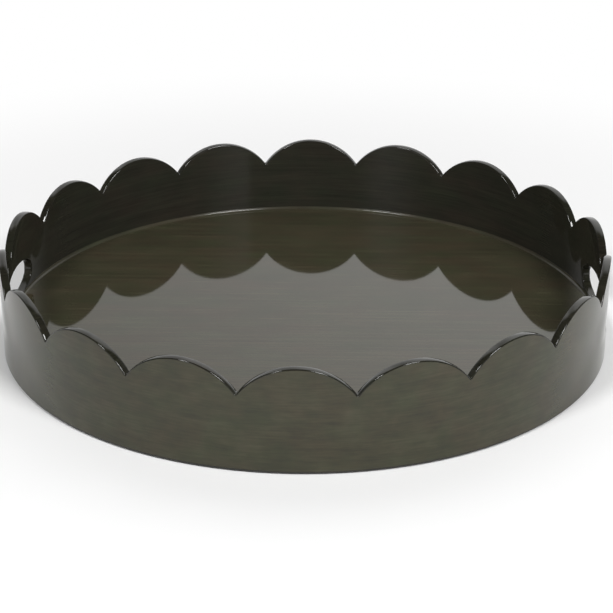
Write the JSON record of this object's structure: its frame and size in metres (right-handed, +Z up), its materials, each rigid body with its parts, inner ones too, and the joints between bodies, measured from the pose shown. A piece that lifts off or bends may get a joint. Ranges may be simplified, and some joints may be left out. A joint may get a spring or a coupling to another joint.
{
  "type": "serving tray",
  "caption": "Round serving tray with a scalloped bent-ply wall, oval hand holes on either side, a flat floor and small rubber feet.",
  "frame": {"origin": "centre of the tray on the surface that its feet stand on", "axes": "+Z up out of the tray, X through both hand holes, +Y to the back, the two sides being alike"},
  "size_m": [0.4572, 0.4572, 0.0772],
  "materials": {
    "lacquered_ply": "dark olive-brown hand-brushed paint under clear gloss lacquer",
    "raw_wood": "bare ply",
    "lacquered_board": "dark olive-brown hand-brushed paint under clear gloss lacquer",
    "lacquered_filler": "painted and lacquered filler",
    "bright_steel": "bright drawn wire",
    "black_rubber": "matte"
  },
  "bodies": {
    "root": {"wall_outer_ply": "lacquered_ply", "wall_core_ply": "raw_wood", "wall_inner_ply": "lacquered_ply", "base_panel": "lacquered_board", "corner_bead": "lacquered_filler", "brad_01": "bright_steel", "brad_02": "bright_steel", "brad_03": "bright_steel", "brad_04": "bright_steel", "brad_05": "bright_steel", "brad_06": "bright_steel", "brad_07": "bright_steel", "brad_08": "bright_steel", "brad_09": "bright_steel", "brad_10": "bright_steel", "brad_11": "bright_steel", "brad_12": "bright_steel", "foot_back_right": "black_rubber", "foot_back_left": "black_rubber", "foot_front_left": "black_rubber", "foot_front_right": "black_rubber"}
  },
  "joints": []
}
